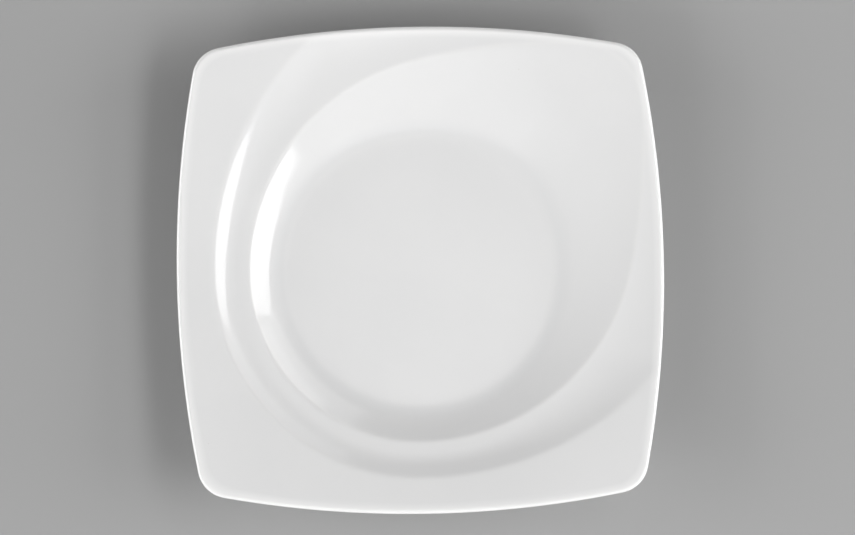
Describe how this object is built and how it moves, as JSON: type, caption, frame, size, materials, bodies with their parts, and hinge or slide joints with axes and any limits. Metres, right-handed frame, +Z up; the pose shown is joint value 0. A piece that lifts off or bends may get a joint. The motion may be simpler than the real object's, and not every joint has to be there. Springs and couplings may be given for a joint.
{
  "type": "square dinner plate",
  "caption": "Square white porcelain dinner plate with bowed sides, a round well and a swirled, stepped rim, on a round foot ring",
  "frame": {"origin": "centre of the foot ring's standing face, on the table", "axes": "+Z up; +X and +Y square to two sides, with the tight corner of the swirl at -X -Y and the open corner at +X +Y"},
  "size_m": [0.265, 0.265, 0.0297],
  "materials": {
    "bare_porcelain": "matte",
    "white_glaze": "gloss"
  },
  "bodies": {
    "root": {"porcelain_body": "bare_porcelain", "glaze_coat": "white_glaze", "base_glaze": "white_glaze"}
  },
  "joints": []
}
